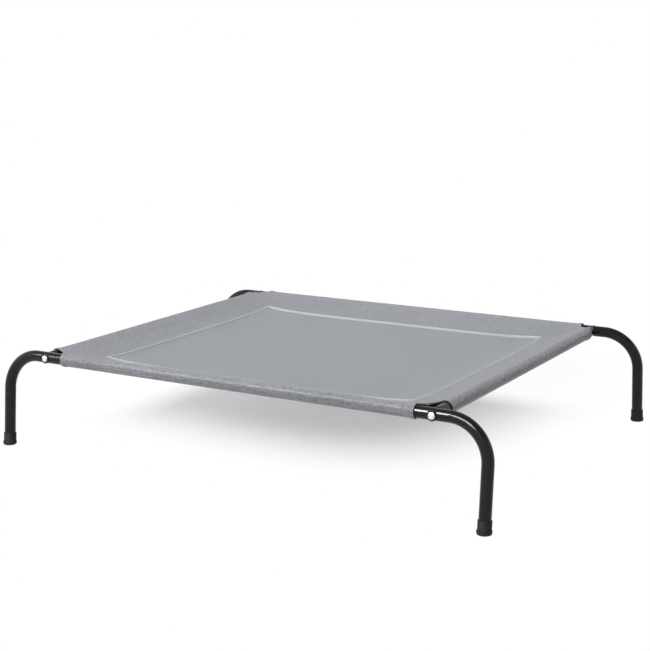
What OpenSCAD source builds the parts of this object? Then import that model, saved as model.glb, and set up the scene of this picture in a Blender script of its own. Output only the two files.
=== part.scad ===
// Raised dog cot: a bolted tube frame on four rubber feet, with a sewn sling
// whose border sleeves slide over the rails.
// Millimetres, +Z up. The origin is on the floor under the middle of the cot,
// +X runs along the long rails and +Y towards the rear.

/* [Frame] */
// Distance between the axes of the two cross rails
cross_rail_spacing = 838; // [500:1:1200]
// Distance between the axes of the two long rails
long_rail_spacing = 745; // [400:1:1000]
// Height of the rail axes above the floor
rail_height = 186; // [150:1:300]
// Outward lean of the legs, turned about the long rails
leg_splay = 5; // [0:0.5:10]
// Outside diameter of the frame tube
tube_od = 22; // [18:0.5:28]
// Wall of the frame tube
tube_wall = 1.2; // [0.8:0.1:2]
// Centre-line radius of the bend in each leg
bend_radius = 72; // [45:1:110]
// Straight arm between the corner bolt and the start of the bend
bolt_to_bend = 28; // [16:1:80]
// Straight arm between the corner bolt and the open end inside the sleeve
bolt_to_arm_end = 78; // [60:1:160]

/* [Rail joint] */
// Length of the swaged spigot of a long rail inside the arm
spigot_length = 45; // [20:1:50]
// Length of the cone that necks the rail down to its spigot
swage_length = 4; // [2:0.5:10]
// Radial play of the spigot in the arm
spigot_play = 0.2; // [0.1:0.05:0.5]

/* [Corner fixings] */
// Thread diameter of the corner bolt
bolt_d = 6; // [4:0.5:8]
// Head diameter of the corner bolt
bolt_head_d = 12.5; // [9:0.5:14]
// Head height of the corner bolt
bolt_head_h = 3.3; // [2.6:0.1:5]
// Height of the straight edge under the domed head
bolt_head_edge = 0.7; // [0.3:0.1:1.2]
// Width across flats of the hexagon socket in the head
socket_flats = 4; // [3:0.5:5]
// Depth of the hexagon socket
socket_depth = 2; // [1:0.1:2.4]
// Length of bolt that shows past its nut
bolt_end = 2; // [1:0.5:10]
// Extra diameter of the holes that the bolt passes through
bolt_hole_play = 0.6; // [0.2:0.1:1]
// Extra diameter of the nut's bore over the bolt
thread_play = 0.1; // [0.05:0.05:0.3]
// Diameter of the arc washer
washer_d = 19; // [15:0.5:20]
// Thickness of the arc washer over the crown of the arm
washer_t = 2; // [1.5:0.1:4]
// Depth to which the arc washer reaches down the arm
washer_wrap = 3; // [2:0.5:5]
// Chamfer round the front of the arc washer
washer_chamfer = 1; // [0.4:0.1:1.4]
// Width across flats of the nut
nut_flats = 10; // [9:0.5:13]
// Height of the nut
nut_h = 5; // [3:0.5:8]
// Gap between the nut and each flat of its pocket
nut_pocket_play = 0.1; // [0.05:0.05:0.3]

/* [Saddle] */
// Thickness of the saddle between the crown of the arm and the cross rail
saddle_t = 4; // [2:0.5:12]
// Depth to which the saddle reaches round the arm
saddle_wrap = 5; // [2:0.5:8]
// Length of the saddle's plug inside the cross rail
plug_length = 24; // [15:1:50]
// Chamfer on the inner end of the plug
plug_chamfer = 1.5; // [0.5:0.1:3]
// Radial play of the plug in the cross rail
plug_play = 0.15; // [0.1:0.05:0.4]
// Gap under the hollow faces that sit on the round arm
seat_gap = 0.1; // [0.05:0.05:0.3]

/* [Feet] */
// Height of the rubber foot
foot_height = 24; // [16:1:50]
// Rubber under the end of the leg
foot_base = 5; // [3:0.5:10]
// Wall of the foot at its rim
foot_wall = 1.2; // [0.8:0.1:3]
// Extra radius of the sole over the rim
foot_flare = 1; // [0.2:0.1:2]
// Height of the sole ring
sole_height = 7; // [5:0.5:12]
// Round of the bottom edge of the sole
foot_round = 2.5; // [1:0.5:4]
// Radial play of the leg in the foot
foot_play = 0.1; // [0.05:0.05:0.3]

/* [Sling] */
// Thickness of the cloth
cloth_t = 0.9; // [0.6:0.1:1.5]
// Radial room between a sleeve and its rail
sleeve_room = 0.4; // [0.3:0.1:1]
// Distance from a rail's axis to the stitch line that closes its sleeve
stitch_offset = 28; // [24:1:40]
// Distance from a rail's axis to the seam of the centre panel
seam_offset = 82; // [60:1:140]
// Distance from the axis of the crossing rail to the mouth of a sleeve
sleeve_setback = 36; // [28:1:50]
// Drop of the middle of the sling below the crowns of its sleeves
sling_drop = 36; // [10:1:60]
// Width of centre panel that lies under the borders
seam_lap = 12; // [6:1:20]
// Width of the welt along the seam
binding_w = 5; // [4:0.5:12]
// Height of the welt over the borders
binding_h = 2.2; // [0.6:0.1:4]
// Gap between layers that are sewn together
layer_gap = 0.15; // [0.1:0.05:0.3]
// Gap between two borders at their mitred corner
mitre_gap = 0.8; // [0.4:0.1:2]

/* [Hidden] */
$fn = 64;
half_x = cross_rail_spacing / 2;
half_y = long_rail_spacing / 2;
tube_r = tube_od / 2;
tube_bore_r = tube_r - tube_wall;
// Length of a leg's axis between its rail's axis and the floor
leg_reach = rail_height / cos(leg_splay);
upright_length = leg_reach - bend_radius - foot_base;
// Distance of a foot's middle outside its rail's axis
foot_out = rail_height * tan(leg_splay);
spigot_r = tube_bore_r - spigot_play;
saddle_face = tube_r + saddle_t;
plug_r = tube_bore_r - plug_play;
plug_end = saddle_face + plug_length;
bolt_hole_r = (bolt_d + bolt_hole_play) / 2;
foot_bore_r = tube_r + foot_play;
foot_rim_r = foot_bore_r + foot_wall;
sole_r = foot_rim_r + foot_flare;
// Radius of the middle of the cloth round a rail
sleeve_r = tube_r + sleeve_room + cloth_t / 2;
// Length by which a cut runs past the faces that it opens
cut = 1;
// Exponent of the sling's sag: higher is flatter in the middle
sag_power = 6;
// Cells of the sling's grids
panel_cells_x = 18;
panel_cells_y = 16;
border_cells = 14;
wrap_cells = 12;
slope_cells = 4;
black_coat = [0.07, 0.07, 0.08];
black_rubber = [0.05, 0.05, 0.05];
black_plastic = [0.11, 0.11, 0.12];
zinc = [0.78, 0.79, 0.80];
panel_grey = [0.55, 0.57, 0.58];
border_grey = [0.47, 0.48, 0.51];
binding_grey = [0.70, 0.71, 0.72];

// Put a piece of the right rear corner at the corner given by two signs.
// The piece's origin is on the bolt's axis where it crosses the arm's axis.
module at_corner(side, end) {
    translate([side * half_x, end * half_y, rail_height])
        mirror([side < 0 ? 1 : 0, 0, 0])
            mirror([0, end < 0 ? 1 : 0, 0])
                children();
}

// Lay a piece that is built along +Z so that it points to the middle along the bolt's axis.
module along_bolt() {
    rotate([90, 0, 0]) children();
}

module four_corners() {
    for (side = [-1, 1], end = [-1, 1]) at_corner(side, end) children();
}

// Solid bar of radius r along the arm, the bend and the upright of a leg.
module leg_bar(r, over) {
    translate([-bolt_to_arm_end - over, 0, 0])
        rotate([0, 90, 0]) cylinder(r = r, h = bolt_to_arm_end + bolt_to_bend + over);
    translate([bolt_to_bend, 0, -bend_radius])
        rotate([90, 0, 0]) rotate_extrude(angle = 90) translate([bend_radius, 0]) circle(r);
    translate([bolt_to_bend + bend_radius, 0, -bend_radius - upright_length - over])
        cylinder(r = r, h = upright_length + over);
}

// Lean a leg, or the cup of its foot, outwards.
module splayed() {
    rotate([leg_splay, 0, 0]) children();
}

module leg(side, end) {
    color(black_coat) at_corner(side, end) difference() {
        splayed() difference() {
            leg_bar(tube_r, 0);
            leg_bar(tube_bore_r, cut);
        }
        along_bolt() cylinder(r = bolt_hole_r, h = 2 * tube_od, center = true);
    }
}

// Level sole with a rounded bottom edge.
module sole() {
    rotate_extrude() difference() {
        union() {
            square([sole_r - foot_round, sole_height]);
            translate([0, foot_round]) square([sole_r, sole_height - foot_round]);
            translate([sole_r - foot_round, foot_round]) circle(foot_round);
        }
        translate([-sole_r, -cut]) square([sole_r, sole_height + 2 * cut]);
    }
}

// Rubber foot: a cup that leans with the leg, on a wider level sole.
module foot(side, end) {
    color(black_rubber) at_corner(side, end)
        translate([bolt_to_bend + bend_radius, foot_out, -rail_height]) difference() {
            union() {
                sole();
                splayed() translate([0, 0, foot_base]) cylinder(r = foot_rim_r, h = foot_height - foot_base);
            }
            splayed() translate([0, 0, foot_base]) cylinder(r = foot_bore_r, h = foot_height);
        }
}

// Long rail: a tube necked down at both ends to plug into the arms.
module long_rail(end) {
    neck = half_x - bolt_to_arm_end;
    body = neck - swage_length;
    tip = neck + spigot_length;
    outer = [[tube_r, body], [spigot_r, neck], [spigot_r, tip]];
    profile = concat(
        [for (p = outer) p],
        [for (i = [2:-1:0]) [outer[i].x - tube_wall, outer[i].y]],
        [for (p = outer) [p.x - tube_wall, -p.y]],
        [for (i = [2:-1:0]) [outer[i].x, -outer[i].y]]
    );
    color(black_coat) translate([0, end * half_y, rail_height])
        rotate([0, 90, 0]) rotate_extrude() polygon(profile);
}

module cross_rail(side) {
    length = 2 * (half_y - saddle_face);
    color(black_coat) translate([side * half_x, 0, rail_height]) rotate([90, 0, 0]) difference() {
        cylinder(r = tube_r, h = length, center = true);
        cylinder(r = tube_bore_r, h = length + 2 * cut, center = true);
    }
}

// Hexagonal bar with the given width across flats.
module hex_bar(flats, h) {
    cylinder(d = flats / cos(30), h = h, $fn = 6);
}

// End plug of a cross rail, hollowed to sit on the arm and holding the nut.
module saddle(side, end) {
    color(black_plastic) at_corner(side, end) difference() {
        along_bolt() difference() {
            union() {
                translate([0, 0, tube_r - saddle_wrap]) cylinder(r = tube_r, h = saddle_wrap + saddle_t);
                translate([0, 0, saddle_face]) cylinder(r = plug_r, h = plug_length - plug_chamfer);
                translate([0, 0, plug_end - plug_chamfer])
                    cylinder(r1 = plug_r, r2 = plug_r - plug_chamfer, h = plug_chamfer);
            }
            cylinder(r = bolt_hole_r, h = plug_end + cut);
            translate([0, 0, plug_end - nut_h]) hex_bar(nut_flats + 2 * nut_pocket_play, nut_h + cut);
        }
        rotate([0, 90, 0]) cylinder(r = tube_r + seat_gap, h = 2 * tube_od, center = true);
    }
}

// Arc washer: a chamfered disc hollowed to sit on the outside of the arm.
module washer() {
    washer_r = washer_d / 2;
    front = tube_r + washer_t;
    difference() {
        rotate([-90, 0, 0]) difference() {
            union() {
                translate([0, 0, tube_r - washer_wrap])
                    cylinder(r = washer_r, h = washer_wrap + washer_t - washer_chamfer);
                translate([0, 0, front - washer_chamfer])
                    cylinder(r1 = washer_r, r2 = washer_r - washer_chamfer, h = washer_chamfer);
            }
            cylinder(r = bolt_hole_r, h = front + cut);
        }
        rotate([0, 90, 0]) cylinder(r = tube_r + seat_gap, h = 2 * tube_od, center = true);
    }
}

module corner_washers() {
    color(black_plastic) four_corners() washer();
}

// Button-head bolt along the bolt's axis, its head outside the washer.
module bolt() {
    seat = tube_r + washer_t;
    rise = bolt_head_h - bolt_head_edge;
    dome_r = (pow(bolt_head_d / 2, 2) + pow(rise, 2)) / (2 * rise);
    rotate([-90, 0, 0]) {
        translate([0, 0, -plug_end - bolt_end]) cylinder(d = bolt_d, h = plug_end + bolt_end + seat);
        translate([0, 0, seat]) difference() {
            rotate_extrude() intersection() {
                square([bolt_head_d / 2, bolt_head_h]);
                translate([0, bolt_head_h - dome_r]) circle(dome_r);
            }
            translate([0, 0, bolt_head_h - socket_depth]) hex_bar(socket_flats, socket_depth + cut);
        }
    }
}

module corner_bolts() {
    color(zinc) four_corners() bolt();
}

module corner_nuts() {
    color(zinc) four_corners() along_bolt() translate([0, 0, plug_end - nut_h]) difference() {
        hex_bar(nut_flats, nut_h);
        translate([0, 0, -cut]) cylinder(d = bolt_d + thread_play, h = nut_h + 2 * cut);
    }
}

// Share of the sag at distance d from the middle, where the cloth is held at distance held.
function sag_share(d, held) = 1 - pow(abs(d) / held, sag_power);

// Slope at which the cloth leaves the crown of a rail, for a share of the sag along that rail.
function crown_slope(share, half) = sag_power * sling_drop * share / half;

// Height of the borders' middle surface over the rails' axes at a point of the sling.
// The surface is lifted so that it meets the round crowns of the rails at a tangent.
function sling_z(x, y, reach_x, reach_y) = let (
        share_x = sag_share(x, reach_x),
        share_y = sag_share(y, reach_y),
        slope = max(crown_slope(share_x, reach_y), crown_slope(share_y, reach_x))
    )
    sleeve_r * norm([1, slope]) - sling_drop * share_x * share_y;

function cloth_z(x, y) = rail_height + sling_z(x, y, half_x, half_y);

// Closed sheet between two grids of points, given as rows of equal length.
// Seen from the upper grid's side, rows go up and the points of a row go right.
module sheet(upper, lower) {
    rows = len(upper);
    columns = len(upper[0]);
    count = rows * columns;
    points = concat([for (row = upper) each row], [for (row = lower) each row]);
    cells = [for (i = [0:rows - 2], j = [0:columns - 2]) i * columns + j];
    rim = concat(
        [for (j = [0:columns - 1]) j],
        [for (i = [1:rows - 1]) i * columns + columns - 1],
        [for (j = [columns - 2:-1:0]) (rows - 1) * columns + j],
        [for (i = [rows - 2:-1:1]) i * columns]
    );
    faces = concat(
        [for (a = cells) each [[a, a + columns, a + columns + 1], [a, a + columns + 1, a + 1]]],
        [for (a = cells) let (b = a + count)
            each [[b, b + columns + 1, b + columns], [b, b + 1, b + columns + 1]]],
        [for (k = [0:len(rim) - 1]) let (a = rim[k], b = rim[(k + 1) % len(rim)])
            each [[a, b, b + count], [a, b + count, a + count]]]
    );
    polyhedron(points, faces);
}

module centre_panel() {
    reach_x = half_x - seam_offset + seam_lap;
    reach_y = half_y - seam_offset + seam_lap;
    xs = [for (j = [0:panel_cells_x]) reach_x * (2 * j / panel_cells_x - 1)];
    ys = [for (i = [0:panel_cells_y]) reach_y * (2 * i / panel_cells_y - 1)];
    top = cloth_t / 2 + layer_gap;
    color(panel_grey) sheet(
        [for (y = ys) [for (x = xs) [x, y, cloth_z(x, y) - top]]],
        [for (y = ys) [for (x = xs) [x, y, cloth_z(x, y) - top - cloth_t]]]
    );
}

// Border strip along the front, in a frame where its rail runs along X.
// along and across are the half spacings of the rails at its ends and of its own rail.
// The strip leaves the stitch line under the sling, wraps the outside of the rail up to
// its crown and slopes down to the seam of the centre panel.
module border(along, across) {
    shares = [for (j = [0:border_cells]) 2 * j / border_cells - 1];
    function slope_z(x, inset) = sling_z(x, across - inset, along, across);
    function stitch_z(x) = slope_z(x, stitch_offset) - cloth_t - layer_gap;
    // Angles about the rail at which the lower layer leaves for the stitch line and the upper one for the seam.
    function lower_angle(x) = atan2(stitch_z(x), stitch_offset)
        - acos(sleeve_r / norm([stitch_offset, stitch_z(x)]));
    function upper_angle(x) = -270 - atan(crown_slope(sag_share(x, along), across));
    function wrap_angle(x, i) = lower_angle(x) + (upper_angle(x) - lower_angle(x)) * i / wrap_cells;
    // A point of the cloth at the given side of its middle: -1 is the rail's side.
    function wrap_point(x, i, side) = let (a = wrap_angle(x, i), r = sleeve_r + side * cloth_t / 2)
        [x, r * cos(a), r * sin(a)];
    function stitch_point(x, side) = let (a = lower_angle(x), out = side * cloth_t / 2)
        [x, stitch_offset + out * cos(a), stitch_z(x) + out * sin(a)];
    sleeve = along - sleeve_setback;
    half_cut = sleeve_setback / 2;
    insets = concat([half_cut / 2],
        [for (i = [0:slope_cells]) half_cut + (seam_offset - half_cut) * i / slope_cells]);
    function layer(side) = concat(
        [[for (s = shares) stitch_point(s * sleeve, side)]],
        [for (i = [0:wrap_cells]) [for (s = shares) wrap_point(s * sleeve, i, side)]],
        [for (inset = insets) let (reach = along - max(inset, sleeve_setback - inset) - mitre_gap / 2)
            [for (s = shares) [s * reach, inset, slope_z(s * reach, inset) + side * cloth_t / 2]]]
    );
    translate([0, -across, rail_height]) sheet(layer(1), layer(-1));
}

module long_border(end) {
    color(border_grey) mirror([0, end > 0 ? 1 : 0, 0]) border(half_x, half_y);
}

module side_border(side) {
    color(border_grey) mirror([side > 0 ? 1 : 0, 0, 0]) rotate([0, 0, -90]) border(half_y, half_x);
}

// Welt on the inner edge of the borders: one closed domed ring that follows the sag.
module seam_binding() {
    lift = cloth_t / 2 + layer_gap;
    signs = [[-1, -1], [1, -1], [1, 1], [-1, 1]];
    ring = 4 * border_cells;
    // Shares of the welt's height up to its shoulders and of its width beside its crown.
    shoulder = 0.5;
    slant = 0.25;
    section = [[0, 0], [1, 0], [1, shoulder], [1 - slant, 1], [slant, 1], [0, shoulder]];
    points = [for (place = section, side = [0:3], j = [0:border_cells - 1])
        let (
            inset = seam_offset - binding_w * (1 - place[0]),
            share = j / border_cells,
            corner = signs[side] * (1 - share) + signs[(side + 1) % 4] * share,
            x = corner.x * (half_x - inset),
            y = corner.y * (half_y - inset)
        )
        [x, y, cloth_z(x, y) + lift + binding_h * place[1]]];
    faces = [for (k = [0:len(section) - 1], j = [0:ring - 1])
        let (a = k * ring, b = (k + 1) % len(section) * ring, next = (j + 1) % ring)
        each [[a + j, b + j, b + next], [a + j, b + next, a + next]]];
    color(binding_grey) polyhedron(points, faces);
}

leg(-1, -1);  // front_left_leg
leg(1, -1);  // front_right_leg
leg(-1, 1);  // rear_left_leg
leg(1, 1);  // rear_right_leg
foot(-1, -1);  // front_left_foot
foot(1, -1);  // front_right_foot
foot(-1, 1);  // rear_left_foot
foot(1, 1);  // rear_right_foot
long_rail(-1);  // front_rail
long_rail(1);  // rear_rail
cross_rail(-1);  // left_cross_rail
cross_rail(1);  // right_cross_rail
saddle(-1, -1);  // front_left_saddle
saddle(1, -1);  // front_right_saddle
saddle(-1, 1);  // rear_left_saddle
saddle(1, 1);  // rear_right_saddle
corner_washers();
corner_bolts();
corner_nuts();
centre_panel();
long_border(-1);  // front_border
long_border(1);  // rear_border
side_border(-1);  // left_border
side_border(1);  // right_border
seam_binding();
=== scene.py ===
"""Looks of a raised dog cot: a glossy black tube frame on rubber feet, with a sewn grey sling.

Metres, +Z up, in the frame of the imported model. The sling's pieces repeat the sizes and the sag of the
part's source in finer cloth, with puckers, hems, open sleeve mouths, stitches and a corded welt.
"""

import logging
import math
from collections.abc import Sequence
from dataclasses import dataclass
from enum import Enum

import bpy
import numpy as np
from mathutils import Matrix, Vector


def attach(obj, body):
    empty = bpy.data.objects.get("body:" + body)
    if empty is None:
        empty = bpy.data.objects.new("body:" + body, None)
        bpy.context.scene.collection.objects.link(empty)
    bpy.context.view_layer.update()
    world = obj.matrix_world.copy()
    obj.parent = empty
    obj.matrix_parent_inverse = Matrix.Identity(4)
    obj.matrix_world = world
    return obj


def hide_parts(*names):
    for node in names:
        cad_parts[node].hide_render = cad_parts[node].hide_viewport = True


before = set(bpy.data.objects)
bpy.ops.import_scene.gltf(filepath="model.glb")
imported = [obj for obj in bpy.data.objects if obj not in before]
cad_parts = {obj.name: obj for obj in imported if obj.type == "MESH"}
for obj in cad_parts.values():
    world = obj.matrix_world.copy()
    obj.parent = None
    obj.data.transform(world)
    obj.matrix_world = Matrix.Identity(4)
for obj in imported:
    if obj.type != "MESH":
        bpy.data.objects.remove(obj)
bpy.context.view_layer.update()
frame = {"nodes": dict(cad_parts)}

LOG = logging.getLogger("dog_cot")
BODY = "root"

# Layers of the cloth's meshes
CLOTH_MAP = "cloth"
WEAR = "wear"
POLISH = "polish"

# Middle of a soft noise, and the band that most of it lies in
NOISE_MEAN = 0.5
MID_NOISE = (0.3, 0.7)

FULL_TURN = 2.0 * math.pi
LEAST_LENGTH = 1e-12
NO_CREASE_DEG = 180.0

Pair = tuple[float, float]
Triple = tuple[float, float, float]
Colour = Triple
WHITE: Colour = (1.0, 1.0, 1.0)


class Slot(Enum):
    """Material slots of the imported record."""

    POWDER_COAT = "black_powder_coat"
    RUBBER = "black_rubber"
    PLASTIC = "black_plastic"
    ZINC = "zinc_plate"
    PANEL = "panel_cloth"
    BORDER = "border_cloth"
    WELT = "seam_welt"


class LampUse(Enum):
    """What a lamp does: it lights surfaces, or it shows in glossy ones."""

    LIGHT = "light"
    SHINE = "shine"


class Side(Enum):
    """Sides of the cot, by the quarter turns that bring the front border there."""

    FRONT = 0
    RIGHT = 1
    REAR = 2
    LEFT = 3


def smooth_step(low: float, high: float, value: np.ndarray) -> np.ndarray:
    """Rises smoothly from 0 at low to 1 at high.

    Args:
        low: Where the rise starts.
        high: Where the rise ends.
        value: Where to read it.

    Returns:
        The height of the rise at each value.
    """
    t = np.clip((value - low) / (high - low), 0.0, 1.0)
    return t * t * (3.0 - 2.0 * t)


def bell(value: np.ndarray, width: float) -> np.ndarray:
    """A smooth bump of height 1 at 0, which fades over a width."""
    return np.exp(-((value / width) ** 2))


def unit(vectors: np.ndarray) -> np.ndarray:
    """Vectors of length one along the last axis."""
    return vectors / np.maximum(np.linalg.norm(vectors, axis=-1, keepdims=True), LEAST_LENGTH)


def travelled(points: np.ndarray) -> np.ndarray:
    """Distance travelled from the first row of points to each row."""
    steps = np.linalg.norm(np.diff(points, axis=0), axis=-1)
    return np.concatenate([np.zeros_like(steps[:1]), np.cumsum(steps, axis=0)])


def read_along(at: np.ndarray, travel: np.ndarray, values: np.ndarray) -> np.ndarray:
    """Reads the values of a line between its points.

    Args:
        at: Distances along the line.
        travel: Distances of the line's points along it.
        values: One row of values for each point.

    Returns:
        One row of values for each distance.
    """
    return np.stack([np.interp(at, travel, column) for column in values.T], axis=-1)


class NodeGraph:
    """The nodes of a material or a world, with short ways to add and join them."""

    def __init__(self, tree: bpy.types.NodeTree) -> None:
        """Empties a tree and keeps it.

        Args:
            tree: The tree of a material or a world.
        """
        self.tree = tree
        self.tree.nodes.clear()

    def put(self, target: bpy.types.NodeSocket, value: object) -> None:
        """Feeds an input from an output, or sets its own value.

        Args:
            target: The input.
            value: An output socket, a number, a vector or a colour.
        """
        if isinstance(value, bpy.types.NodeSocket):
            self.tree.links.new(value, target)
        elif target.type == "RGBA":
            target.default_value = (*value, 1.0)
        else:
            target.default_value = value

    def add(
        self, kind: str, inputs: dict[str | int, object] | None = None, **settings: object
    ) -> bpy.types.Node:
        """Adds a node.

        Args:
            kind: The kind of node.
            inputs: What its inputs take, by their names or numbers.
            **settings: Its properties.

        Returns:
            The node.
        """
        node = self.tree.nodes.new(kind)
        for key, value in settings.items():
            setattr(node, key, value)
        for key, value in (inputs or {}).items():
            self.put(node.inputs[key], value)
        return node

    def math(self, operation: str, *values: object) -> bpy.types.NodeSocket:
        """A sum, product or other step on numbers.

        Args:
            operation: The step.
            *values: Numbers, or outputs that give them.

        Returns:
            The result.
        """
        return self.add("ShaderNodeMath", dict(enumerate(values)), operation=operation).outputs[0]

    def span(
        self, value: object, source: Pair, target: Pair = (0.0, 1.0), ease: str = "LINEAR"
    ) -> bpy.types.NodeSocket:
        """Moves a number from one range to another, held at the ends.

        Args:
            value: The number.
            source: The range that it comes from.
            target: The range that it goes to.
            ease: How it moves between the ends.

        Returns:
            The moved number.
        """
        inputs = dict(enumerate((value, *source, *target)))
        return self.add("ShaderNodeMapRange", inputs, interpolation_type=ease).outputs[0]

    def mix(self, share: object, low: object, high: object) -> bpy.types.NodeSocket:
        """A colour between two colours.

        Args:
            share: 0 for low and 1 for high.
            low: The first colour.
            high: The second colour.

        Returns:
            The mixed colour.
        """
        # The node keeps its colour inputs at 6 and 7, and its colour output at 2
        return self.add("ShaderNodeMix", {0: share, 6: low, 7: high}, data_type="RGBA").outputs[2]

    def mix_shaders(
        self, share: object, low: bpy.types.NodeSocket, high: bpy.types.NodeSocket
    ) -> bpy.types.NodeSocket:
        """A shader between two shaders.

        Args:
            share: 0 for low and 1 for high.
            low: The first shader.
            high: The second shader.

        Returns:
            The mixed shader.
        """
        return self.add("ShaderNodeMixShader", {0: share, 1: low, 2: high}).outputs[0]

    def noise(
        self, place: bpy.types.NodeSocket, grains: float | Triple, detail: float = 2.0
    ) -> bpy.types.NodeSocket:
        """Soft noise, from 0 to 1.

        Args:
            place: The coordinates, in metres.
            grains: Grains per metre, alike or along each axis.
            detail: Finer layers.

        Returns:
            The noise.
        """
        scale = grains if isinstance(grains, tuple) else (grains,) * 3
        mapping = self.add("ShaderNodeMapping", {"Vector": place, "Scale": scale})
        inputs = {"Vector": mapping.outputs[0], "Scale": 1.0, "Detail": detail}
        return self.add("ShaderNodeTexNoise", inputs).outputs[0]

    def bump(
        self, height: bpy.types.NodeSocket, distance: float, strength: float = 1.0
    ) -> bpy.types.NodeSocket:
        """A normal from a height.

        Args:
            height: The height.
            distance: What a height of 1 stands for, in metres.
            strength: How much of the bump shows.

        Returns:
            The normal.
        """
        inputs = {"Height": height, "Distance": distance, "Strength": strength}
        return self.add("ShaderNodeBump", inputs).outputs["Normal"]

    def axes(self, vector: bpy.types.NodeSocket) -> bpy.types.NodeOutputs:
        """The X, Y and Z of a vector, by their names."""
        return self.add("ShaderNodeSeparateXYZ", {0: vector}).outputs

    def place(self) -> bpy.types.NodeSocket:
        """Coordinates of a piece in its own frame, in metres."""
        return self.add("ShaderNodeTexCoord").outputs["Object"]

    def cloth_place(self) -> bpy.types.NodeSocket:
        """Coordinates along and across the flat cloth, in metres."""
        return self.add("ShaderNodeUVMap", uv_map=CLOTH_MAP).outputs[0]

    def share(self, layer: str) -> bpy.types.NodeSocket:
        """The share that a layer of the mesh gives each point, such as its wear."""
        return self.add("ShaderNodeAttribute", attribute_name=layer).outputs["Fac"]

    def seen_directly(self) -> bpy.types.NodeSocket:
        """Tells rays that show a surface from rays that light one.

        Returns:
            1 on rays from the camera and in mirrors and glass, and 0 on other rays.
        """
        path = self.add("ShaderNodeLightPath").outputs
        mirrored = self.math("MAXIMUM", path["Is Glossy Ray"], path["Is Transmission Ray"])
        return self.math("MAXIMUM", path["Is Camera Ray"], mirrored)


class Finish(NodeGraph):
    """A procedural material, built round a Principled shader."""

    def __init__(self, name: str) -> None:
        """Makes the material, its shader and its output.

        Args:
            name: The material's name.
        """
        self.material = bpy.data.materials.new(name)
        self.material.use_nodes = True
        super().__init__(self.material.node_tree)
        self.shader = self.add("ShaderNodeBsdfPrincipled")
        self.add("ShaderNodeOutputMaterial", {"Surface": self.shader.outputs["BSDF"]})

    def complete(
        self,
        colour: bpy.types.NodeSocket,
        roughness: bpy.types.NodeSocket,
        normal: bpy.types.NodeSocket,
        **constants: float,
    ) -> bpy.types.Material:
        """Feeds the shader.

        Args:
            colour: The base colour.
            roughness: The roughness.
            normal: The bumped normal.
            **constants: What is the same all over, by the inputs' names in lower case.

        Returns:
            The material.
        """
        for name, source in (("Base Color", colour), ("Roughness", roughness), ("Normal", normal)):
            self.put(self.shader.inputs[name], source)
        for key, value in constants.items():
            name = key.replace("_", " ").title().replace("Ior", "IOR")
            self.put(self.shader.inputs[name], value)
        return self.material


@dataclass(frozen=True)
class PowderCoat:
    """Glossy black powder coat with fine orange peel and a few dull scuffs."""

    colour: Colour = (0.011, 0.011, 0.0115)
    scuff: Colour = (0.026, 0.026, 0.027)
    scuff_grains: Triple = (55.0, 55.0, 90.0)
    scuff_band: Pair = (0.66, 0.74)
    scuff_roughness: float = 0.15
    roughness: Pair = (0.34, 0.48)
    cloud_grains: float = 14.0
    peel_grains: float = 420.0
    peel_height: float = 0.00004
    shine: float = 0.03
    coat_roughness: float = 0.07
    coat_ior: float = 1.26

    def make(self) -> bpy.types.Material:
        """Builds the material.

        Returns:
            The material.
        """
        finish = Finish("black_powder_coat_gloss")
        place = finish.place()
        scuffs = finish.span(finish.noise(place, self.scuff_grains, detail=6.0), self.scuff_band)
        cloud = finish.noise(place, self.cloud_grains, detail=3.0)
        clean = finish.span(cloud, MID_NOISE, self.roughness)
        return finish.complete(
            finish.mix(scuffs, self.colour, self.scuff),
            finish.math("MULTIPLY_ADD", scuffs, self.scuff_roughness, clean),
            finish.bump(finish.noise(place, self.peel_grains), self.peel_height),
            specular_ior_level=self.shine,
            coat_weight=1.0,
            coat_roughness=self.coat_roughness,
            coat_ior=self.coat_ior,
        )


@dataclass(frozen=True)
class Rubber:
    """Matte black rubber with a fine grain, dusty where it meets the floor."""

    colour: Colour = (0.0095, 0.0095, 0.0095)
    dust: Colour = (0.045, 0.042, 0.039)
    dust_height: float = 0.007
    dust_share: float = 0.6
    dust_cloud: Pair = (0.35, 0.65)
    dust_patches: Pair = (0.1, 1.0)
    roughness: Pair = (0.55, 0.75)
    cloud_grains: float = 90.0
    grains: float = 1600.0
    grain_height: float = 0.00008
    shine: float = 0.2

    def make(self) -> bpy.types.Material:
        """Builds the material.

        Returns:
            The material.
        """
        finish = Finish("black_rubber_matte")
        place = finish.place()
        cloud = finish.noise(place, self.cloud_grains, detail=4.0)
        low = finish.span(finish.axes(place)["Z"], (0.0, self.dust_height), (self.dust_share, 0.0))
        patches = finish.span(cloud, self.dust_cloud, self.dust_patches)
        dust = finish.math("MULTIPLY", low, patches)
        return finish.complete(
            finish.mix(dust, self.colour, self.dust),
            finish.span(cloud, MID_NOISE, self.roughness),
            finish.bump(finish.noise(place, self.grains), self.grain_height),
            specular_ior_level=self.shine,
        )


@dataclass(frozen=True)
class MouldedPlastic:
    """Black moulded plastic with a spark-eroded grain."""

    colour: Colour = (0.010, 0.010, 0.011)
    polished: Colour = (0.018, 0.018, 0.019)
    roughness: Pair = (0.36, 0.5)
    cloud_grains: float = 60.0
    grains: float = 900.0
    grain_height: float = 0.00006
    shine: float = 0.12

    def make(self) -> bpy.types.Material:
        """Builds the material.

        Returns:
            The material.
        """
        finish = Finish("black_plastic_grain")
        place = finish.place()
        cloud = finish.noise(place, self.cloud_grains, detail=3.0)
        return finish.complete(
            finish.mix(cloud, self.colour, self.polished),
            finish.span(cloud, MID_NOISE, self.roughness),
            finish.bump(finish.noise(place, self.grains, detail=3.0), self.grain_height),
            specular_ior_level=self.shine,
        )


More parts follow.
